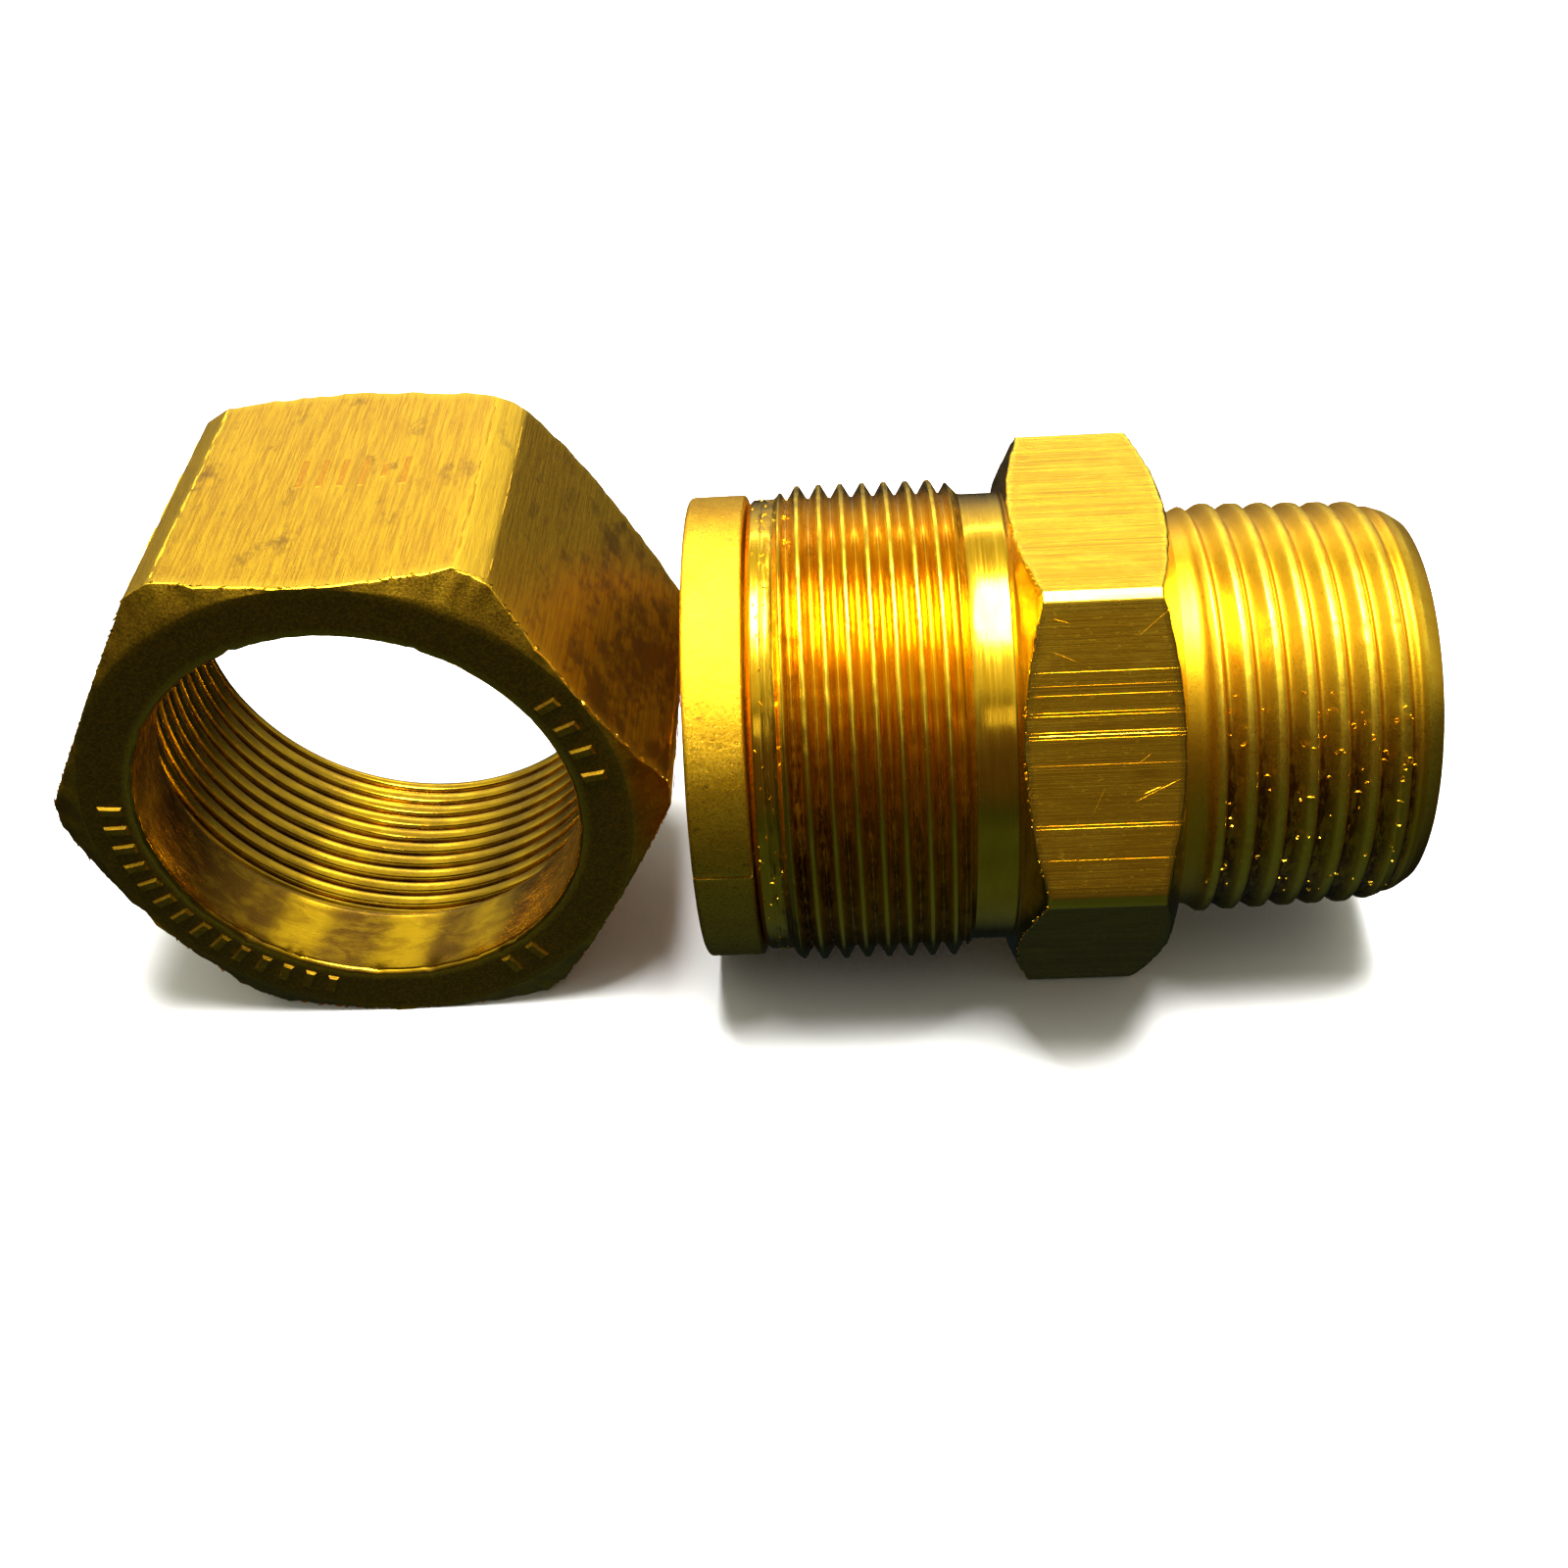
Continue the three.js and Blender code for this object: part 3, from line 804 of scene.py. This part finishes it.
def make_nut_marks(material, dull):
    marks = Slivers(54)
    slivers = Slivers(52)
    source = slivers.source
    for start, end, count in FACE_BARS:
        for degrees in np.linspace(start, end, count):
            turn = math.radians(degrees)
            out = np.array([math.cos(turn), 0, math.sin(turn)])
            marks.add_bar(NUT_ORIGIN + out * BAR_RADIUS, out, (0, -1, 0), *BAR_SIZE)
    marks.build("nut_face_marks", dull, "nut", "forged_brass")
    for _ in range(CHAMFER_BURRS):
        turn = source.uniform(0, TURN)
        outer = float(hexagon_radius(np.array(turn), SECTOR / 2, NUT_ACROSS, NUT_CORNER))
        reach = max((outer - NUT_FACE) * math.tan(NUT_CHAMFER), 0.04)
        tangent = np.array([math.cos(turn), 0, -math.sin(turn)])
        out = np.array([math.sin(turn), 0, math.cos(turn)])
        start = NUT_ORIGIN + out * (outer - 0.02) + np.array([0, reach + source.uniform(-0.05, 0.12), 0])
        step = tangent * source.uniform(0.15, 0.6) + np.array([0, source.normal(0, 0.12), 0])
        slivers.add(start + step * np.linspace(-0.5, 0.5, 5)[:, None], out, 0.1, 0.04)
    ridge = corner_reach(NUT_ACROSS, NUT_CORNER)
    for side in (0, 1, 5):
        for way in (-1, 1):
            turn = SECTOR / 2 + side * SECTOR + way * ridge
            out = np.array([math.sin(turn), 0, math.cos(turn)])
            edge = float(hexagon_radius(np.array(turn), SECTOR / 2, NUT_ACROSS, NUT_CORNER))
            for _ in range(RIDGE_BURRS):
                start = source.uniform(1.5, NUT_LENGTH - 2.5)
                path = NUT_ORIGIN + out * (edge - 0.01) + np.array([source.normal(0, 0.06), start, 0])
                length = source.uniform(0.5, 1.8)
                slivers.add(path + np.array([0, 1, 0]) * np.linspace(0, length, 6)[:, None], out, 0.12, 0.03)
    slivers.build("nut_burrs", material, "nut", "forged_brass")


TOP_BARS = ((-2.2, 3.4), (-0.9, 3.4), (0.4, 3.4), (1.7, 3.4), (3.0, 1.6), (4.3, 3.4))  # place and length
TOP_BARS_BACK = 12.6  # from the lipped face


def make_top_bars(material):
    """A faint row of plain etched bars on the nut's top flat."""
    slivers = Slivers(53)
    for across, length in TOP_BARS:
        centre = NUT_ORIGIN + (across, TOP_BARS_BACK, NUT_ACROSS / 2)
        slivers.add_bar(centre, (0, 1, 0), (0, 0, 1), length, 0.6, 0.012)
    slivers.build("nut_top_bars", material, "nut", "forged_brass")


# ---- Materials ----

class Nodes:
    """Short ways to add and join the nodes of a tree."""

    def __init__(self, tree):
        self.tree = tree

    def add(self, kind, **settings):
        node = self.tree.nodes.new(kind)
        for key, value in settings.items():
            setattr(node, key, value)
        return node

    def link(self, source, target):
        self.tree.links.new(source, target)

    def set_or_link(self, value, socket):
        if isinstance(value, (int, float, tuple)):
            socket.default_value = value
        else:
            self.link(value, socket)

    def ramp(self, source, low, high, out_low=0.0, out_high=1.0, kind="SMOOTHSTEP"):
        node = self.add("ShaderNodeMapRange", interpolation_type=kind)
        node.inputs["From Min"].default_value = low
        node.inputs["From Max"].default_value = high
        node.inputs["To Min"].default_value = out_low
        node.inputs["To Max"].default_value = out_high
        self.link(source, node.inputs["Value"])
        return node.outputs["Result"]

    def math(self, operation, first, second=0.0):
        node = self.add("ShaderNodeMath", operation=operation)
        self.set_or_link(first, node.inputs[0])
        self.set_or_link(second, node.inputs[1])
        return node.outputs[0]


class Metal(Nodes):
    """A metal material's nodes. Their points are in the part's frame."""

    def __init__(self, name):
        self.material = bpy.data.materials.new(name)
        self.material.use_nodes = True
        super().__init__(self.material.node_tree)
        self.tree.nodes.clear()
        self.shader = self.add("ShaderNodeBsdfPrincipled")
        output = self.add("ShaderNodeOutputMaterial")
        self.link(self.shader.outputs[0], output.inputs["Surface"])
        self.place = self.add("ShaderNodeTexCoord").outputs["Object"]

    def attribute(self, name):
        return self.add("ShaderNodeAttribute", attribute_name=name).outputs["Fac"]

    def stretched(self, scale):
        mapping = self.add("ShaderNodeMapping")
        mapping.inputs["Scale"].default_value = [s / MM for s in scale]
        self.link(self.place, mapping.inputs["Vector"])
        return mapping.outputs["Vector"]

    def grain(self, scale, detail=4, roughness=0.6, distortion=0.0):
        """Noise with scale features to the millimetre along X, Y and Z."""
        node = self.add("ShaderNodeTexNoise")
        node.inputs["Scale"].default_value = 1
        node.inputs["Detail"].default_value = detail
        node.inputs["Roughness"].default_value = roughness
        node.inputs["Distortion"].default_value = distortion
        self.link(self.stretched(scale), node.inputs["Vector"])
        return node.outputs["Fac"]

    def blend(self, share, first, second):
        """A colour between two others, each a colour or a socket."""
        node = self.add("ShaderNodeMix", data_type="RGBA")
        sockets = [s for s in node.inputs if s.type == "RGBA"]
        for value, socket in zip((first, second), sockets):
            self.set_or_link((*value, 1) if isinstance(value, tuple) else value, socket)
        self.link(share, node.inputs["Factor"])
        return [s for s in node.outputs if s.type == "RGBA"][0]

    def plus(self, value, source, share):
        """A value with a share of another added to it."""
        return self.math("ADD", value, self.math("MULTIPLY", source, share))

    def worn(self, colour, share):
        """A colour made lighter where the surface is worn."""
        return self.blend(self.math("MULTIPLY", self.attribute("wear"), share), colour, BRASS_LIGHT)

    def bump(self, height, strength, distance, under=None):
        node = self.add("ShaderNodeBump")
        node.inputs["Strength"].default_value = strength
        node.inputs["Distance"].default_value = distance * MM
        self.link(height, node.inputs["Height"])
        if under is not None:
            self.link(under, node.inputs["Normal"])
        return node.outputs["Normal"]

    def finish(self, colour, roughness, normal):
        self.shader.inputs["Metallic"].default_value = 1
        self.link(colour, self.shader.inputs["Base Color"])
        self.link(roughness, self.shader.inputs["Roughness"])
        self.link(normal, self.shader.inputs["Normal"])
        return self.material


BRASS = (0.88, 0.50, 0.020)
BRASS_LIGHT = (0.95, 0.62, 0.040)
BRASS_DEEP = (0.80, 0.42, 0.014)
FORGING = (0.66, 0.38, 0.012)
FORGING_DEEP = (0.44, 0.22, 0.010)
BORE = (0.90, 0.54, 0.016)
# Also used as painted shade on the nut's side towards the adapter and in its bore.
TARNISH_AND_SHADE = (0.19, 0.085, 0.012)
# Also used as painted shade on the adapter's threads.
RESIDUE_AND_SHADE = (0.18, 0.055, 0.007)
ETCHED = (0.34, 0.14, 0.012)
AMBER = (0.80, 0.41, 0.012)


def turned_brass():
    n = Metal("turned_brass")
    rings = n.grain((9, 0.15, 0.15), 3)
    fine = n.grain((28, 0.4, 0.4), 2)
    clouds = n.grain((0.6, 0.3, 0.3), 3)
    smear = n.grain((3.5, 0.7, 0.7), 5, 0.7, 0.4)
    specks = n.grain((7, 4, 4), 3)
    dirt_and_shade = n.attribute("dirt_and_shade")
    wear = n.attribute("wear")
    colour = n.blend(n.ramp(clouds, 0.4, 0.65), BRASS, BRASS_DEEP)
    colour = n.blend(n.ramp(rings, 0.5, 0.75, 0, 0.4), colour, BRASS_LIGHT)
    # Residue near the collar, and painted shade in the thread valleys on the underside.
    residue_and_shade = n.math("MULTIPLY", dirt_and_shade, n.ramp(smear, 0.38, 0.6, 0.35, 1.25))
    colour = n.blend(residue_and_shade, colour, RESIDUE_AND_SHADE)
    colour = n.worn(colour, 0.7)
    grime = n.math("MULTIPLY", n.ramp(specks, 0.68, 0.74), n.plus(0.7, wear, -0.4))
    colour = n.blend(grime, colour, TARNISH_AND_SHADE)
    rough = n.ramp(rings, 0.3, 0.7, 0.1, 0.2)
    rough = n.plus(rough, dirt_and_shade, 0.22)
    rough = n.plus(rough, wear, 0.14)
    rough = n.plus(rough, grime, 0.3)
    normal = n.bump(rings, 0.3, 0.014)
    normal = n.bump(fine, 0.25, 0.005, normal)
    normal = n.bump(specks, 0.2, 0.012, normal)
    return n.finish(colour, rough, normal)


def cut_brass():
    """The pipe thread: satin flanks of a warmer yellow, with pale ragged crests."""
    n = Metal("cut_brass")
    rings = n.grain((6, 0.2, 0.2), 3)
    grit = n.grain((8, 8, 8), 4, 0.7)
    smear = n.grain((2.5, 0.7, 0.7), 5, 0.7, 0.4)
    dirt_and_shade = n.attribute("dirt_and_shade")
    wear = n.attribute("wear")
    colour = n.blend(n.ramp(rings, 0.35, 0.65), AMBER, BRASS_DEEP)
    colour = n.blend(n.ramp(grit, 0.56, 0.7, 0, 0.35), colour, FORGING_DEEP)
    # Painted shade in the thread's valleys, most on the underside.
    residue_and_shade = n.math("MULTIPLY", dirt_and_shade, n.ramp(smear, 0.38, 0.6, 0.4, 1.2))
    colour = n.blend(residue_and_shade, colour, RESIDUE_AND_SHADE)
    ragged = n.math("MULTIPLY", wear, n.ramp(grit, 0.35, 0.55, 0.75, 1))
    colour = n.blend(ragged, colour, BRASS_LIGHT)
    rough = n.ramp(grit, 0.3, 0.7, 0.27, 0.36)
    normal = n.bump(rings, 0.2, 0.01)
    normal = n.bump(grit, 0.4, 0.02, normal)
    return n.finish(colour, rough, normal)


def drawn_brass():
    n = Metal("drawn_brass")
    streaks = n.grain((0.03, 8, 8), 5, 0.75)
    fine = n.grain((0.1, 26, 26), 3, 0.7)
    clouds = n.grain((0.3, 0.6, 0.6), 3)
    pits = n.grain((2.2, 4.5, 4.5), 4, 0.6)
    wear = n.attribute("wear")
    colour = n.blend(n.ramp(streaks, 0.4, 0.62), BRASS, FORGING_DEEP)
    colour = n.blend(n.ramp(clouds, 0.45, 0.7, 0, 0.3), colour, BRASS_LIGHT)
    colour = n.worn(colour, 0.6)
    colour = n.blend(n.ramp(pits, 0.66, 0.74, 0, 0.7), colour, TARNISH_AND_SHADE)
    rough = n.ramp(streaks, 0.3, 0.7, 0.22, 0.36)
    rough = n.math("ADD", rough, n.ramp(pits, 0.6, 0.75, 0, 0.2))
    rough = n.plus(rough, wear, -0.14)
    normal = n.bump(streaks, 0.5, 0.03)
    normal = n.bump(fine, 0.4, 0.008, normal)
    normal = n.bump(pits, 0.25, 0.02, normal)
    return n.finish(colour, rough, normal)


def forged_brass():
    n = Metal("forged_brass")
    streaks = n.grain((7, 0.22, 7), 5, 0.75)
    grit = n.grain((9, 7, 9), 4, 0.7)
    patches = n.grain((0.45, 0.25, 0.45), 6, 0.7)
    colour = n.blend(n.ramp(streaks, 0.4, 0.62), FORGING, FORGING_DEEP)
    colour = n.blend(n.ramp(grit, 0.55, 0.72, 0, 0.5), colour, BRASS)
    side = n.add("ShaderNodeSeparateXYZ")
    n.link(n.place, side.inputs[0])
    # Tarnish patches, spread further towards the adapter (+X) as painted shade on that side of the nut.
    towards_adapter = n.ramp(side.outputs["X"], -0.013, -0.005, 0.56, 0.42)
    tarnish_and_side_shade = n.math("SUBTRACT", patches, towards_adapter)
    colour = n.blend(n.ramp(tarnish_and_side_shade, 0.0, 0.16, 0, 0.75), colour, TARNISH_AND_SHADE)
    colour = n.worn(colour, 0.35)
    rough = n.ramp(grit, 0.3, 0.7, 0.28, 0.42)
    normal = n.bump(streaks, 0.7, 0.045)
    normal = n.bump(grit, 0.5, 0.025, normal)
    return n.finish(colour, rough, normal)


def etched_brass():
    n = Metal("etched_brass")
    grit = n.grain((9, 9, 9), 4, 0.7)
    colour = n.blend(n.ramp(grit, 0.35, 0.65), ETCHED, FORGING_DEEP)
    rough = n.ramp(grit, 0.3, 0.7, 0.4, 0.55)
    return n.finish(colour, rough, n.bump(grit, 0.5, 0.03))


def burr_brass():
    """Freshly torn metal: the brightest on the object."""
    n = Metal("burr_brass")
    grit = n.grain((12, 12, 12), 3)
    colour = n.blend(n.ramp(grit, 0.35, 0.65), BRASS_LIGHT, BRASS)
    return n.finish(colour, n.ramp(grit, 0.3, 0.7, 0.18, 0.35), n.bump(grit, 0.6, 0.03))


def dull_face_brass():
    return grained_brass("dull_face_brass", FORGING_DEEP, 0.75)


def cone_brass():
    """The chamfers at the nut's ends: as grained as the face, but brighter and scratched."""
    return grained_brass("cone_brass", FORGING, 0.5)


def grained_brass(name, base, dull):
    n = Metal(name)
    grit = n.grain((7, 7, 7), 5, 0.7)
    clouds = n.grain((0.5, 0.5, 0.5), 4)
    scratch = n.grain((0.7, 9, 6), 3, 0.6, 0.5)
    colour = n.blend(n.ramp(clouds, 0.35, 0.7), base, FORGING_DEEP)
    colour = n.blend(n.ramp(grit, 0.4, 0.66, dull, 0.1), colour, TARNISH_AND_SHADE)
    colour = n.blend(n.ramp(scratch, 0.68, 0.74, 0, 0.6), colour, BRASS)
    colour = n.worn(colour, 0.5)
    rough = n.ramp(grit, 0.3, 0.7, 0.32, 0.46)
    normal = n.bump(grit, 0.6, 0.045)
    normal = n.bump(scratch, 0.3, 0.02, normal)
    return n.finish(colour, rough, normal)


def bored_brass():
    n = Metal("bored_brass")
    rings = n.grain((0.3, 8, 0.3), 3)
    clouds = n.grain((0.5, 0.9, 0.5), 4, 0.6, 0.4)
    specks = n.grain((5, 5, 5), 4)
    dirt_and_shade = n.attribute("dirt_and_shade")
    colour = n.blend(n.ramp(clouds, 0.4, 0.65, 0, 0.6), BORE, FORGING_DEEP)
    # Dark film over the bore and darker thread grooves, cut by the bright bands: partly tarnish, partly
    # painted shade and reflection.
    film_and_shade = n.math("MULTIPLY", dirt_and_shade, n.ramp(clouds, 0.35, 0.6, 0.9, 1.25))
    colour = n.blend(film_and_shade, colour, TARNISH_AND_SHADE)
    colour = n.worn(colour, 0.25)
    colour = n.blend(n.ramp(specks, 0.64, 0.72, 0, 0.5), colour, TARNISH_AND_SHADE)
    rough = n.ramp(rings, 0.3, 0.7, 0.12, 0.22)
    rough = n.plus(rough, dirt_and_shade, 0.12)
    normal = n.bump(rings, 0.2, 0.012)
    normal = n.bump(specks, 0.15, 0.02, normal)
    return n.finish(colour, rough, normal)


def cast_brass():
    n = Metal("cast_brass")
    grit = n.grain((5, 5, 5), 5, 0.8)
    lumps = n.grain((1.6, 1.6, 1.6), 3)
    clouds = n.grain((0.3, 0.3, 0.3), 3)
    colour = n.blend(n.ramp(clouds, 0.35, 0.7), BRASS, AMBER)
    colour = n.blend(n.ramp(grit, 0.48, 0.62, 0, 0.8), colour, FORGING_DEEP)
    colour = n.blend(n.ramp(lumps, 0.6, 0.75, 0, 0.5), colour, TARNISH_AND_SHADE)
    colour = n.worn(colour, 0.7)
    rough = n.ramp(grit, 0.3, 0.7, 0.24, 0.4)
    normal = n.bump(lumps, 0.35, 0.07)
    normal = n.bump(grit, 1.0, 0.06, normal)
    return n.finish(colour, rough, normal)


# ---- Floor and light ----

FLOOR_SIZE = 3.0


def make_floor():
    half = FLOOR_SIZE / 2
    mesh = bpy.data.meshes.new("floor")
    corners = [(-half, -half, 0), (half, -half, 0), (half, half, 0), (-half, half, 0)]
    mesh.from_pydata(corners, [], [(0, 1, 2, 3)])
    floor = add_object("floor", mesh)
    material = bpy.data.materials.new("pale_floor")
    material.use_nodes = True
    shader = material.node_tree.nodes["Principled BSDF"]
    shader.inputs["Base Color"].default_value = (0.86, 0.86, 0.86, 1)
    shader.inputs["Roughness"].default_value = 0.9
    shader.inputs["Specular IOR Level"].default_value = 0
    mesh.materials.append(material)
    floor.visible_glossy = False


def soft_light(name, place, aim, size, radiance):
    """A rectangular light of width by height in metres, facing a point."""
    data = bpy.data.lights.new(name, "AREA")
    data.shape = "RECTANGLE"
    data.size, data.size_y = size
    data.energy = radiance * math.pi * size[0] * size[1]
    add_object(name, data).matrix_world = facing(place, aim)


def on_arc(angle, distance, sideways=0.0):
    """A point above the object, at an angle from the front horizon over the top."""
    turn = math.radians(angle)
    return (sideways, -distance * math.cos(turn), distance * math.sin(turn))


COOL = (0.60, 1.00, 1.10)
ROSE = (1.00, 0.75, 0.90)
WARM = (1.00, 1.00, 0.80)
# What the metal mirrors, by the angle from the front horizon over the top: degrees, brightness and tint.
SURROUNDINGS = (
    (-180, 0.30, WARM), (-172, 0.16, WARM), (-162, 0.04, WARM), (-140, 0.01, COOL), (-105, 0.008, COOL),
    (-85, 0.07, COOL), (-60, 0.08, COOL), (-35, 0.065, COOL), (-22, 0.08, COOL), (-12, 0.05, COOL),
    (2, 0.06, ROSE), (22, 0.085, ROSE), (30, 0.14, ROSE), (47, 0.33, WARM), (53, 0.7, WARM),
    (64, 0.8, WARM), (73, 1.1, WARM), (78, 1.8, WARM), (104, 1.8, WARM), (112, 1.0, WARM),
    (125, 0.66, WARM), (137, 0.66, WARM), (144, 1.1, WARM), (152, 1.2, WARM), (160, 0.9, WARM),
    (180, 0.30, WARM))
SIDE_DIM = 0.45  # how much is left of it towards the far left and right
SIDE_START, SIDE_END = 0.3, 0.65  # where it dims, as the sideways part of the direction


def make_surroundings():
    world = bpy.data.worlds.new("room")
    bpy.context.scene.world = world
    world.use_nodes = True
    n = Nodes(world.node_tree)
    split = n.add("ShaderNodeSeparateXYZ")
    n.link(n.add("ShaderNodeTexCoord").outputs["Generated"], split.inputs[0])
    towards_front = n.math("MULTIPLY", split.outputs["Y"], -1)
    angle = n.math("ARCTAN2", split.outputs["Z"], towards_front)
    colours = n.add("ShaderNodeValToRGB")
    n.link(n.ramp(angle, -math.pi, math.pi, kind="LINEAR"), colours.inputs["Fac"])
    sideways = n.math("ABSOLUTE", split.outputs["X"])
    dim = n.ramp(sideways, SIDE_START, SIDE_END, 1, SIDE_DIM, "LINEAR")
    background = n.tree.nodes["Background"]
    n.link(colours.outputs["Color"], background.inputs["Color"])
    n.link(dim, background.inputs["Strength"])
    stops = colours.color_ramp.elements
    while len(stops) < len(SURROUNDINGS):
        stops.new(0.5)
    for stop, (degrees, brightness, tint) in zip(stops, SURROUNDINGS):
        stop.position = (degrees + 180) / 360
        stop.color = (*(brightness * part for part in tint), 1)


def make_lights():
    centre = (0.005, 0, 0.02)
    soft_light("overhead", on_arc(91.5, 0.6, 0.03), centre, size=(0.32, 0.23), radiance=55)
    soft_light("back_strip", on_arc(146, 0.65), centre, size=(0.5, 0.035), radiance=5)
    soft_light("front_window", on_arc(39, 0.7), centre, size=(0.16, 0.10), radiance=0.9)


# ---- The scene ----

bpy.context.scene.view_settings.view_transform = "Standard"
make_camera()
machined = [turned_brass(), drawn_brass(), cut_brass()]
make_adapter(machined)
make_nut([bored_brass(), forged_brass(), dull_face_brass(), cone_brass()])
burrs = burr_brass()
make_adapter_burrs(burrs)
make_nut_marks(burrs, cone_brass())
make_top_bars(etched_brass())
cast = [cast_brass()]
make_bushing_half("bushing_upper_detail", "bushing_half_upper", "bushing_upper", -SPLIT_TILT, 31, cast)
make_bushing_half("bushing_lower_detail", "bushing_half_lower", "bushing_lower", math.pi - SPLIT_TILT, 41,
                  cast)
make_floor()
make_surroundings()
make_lights()
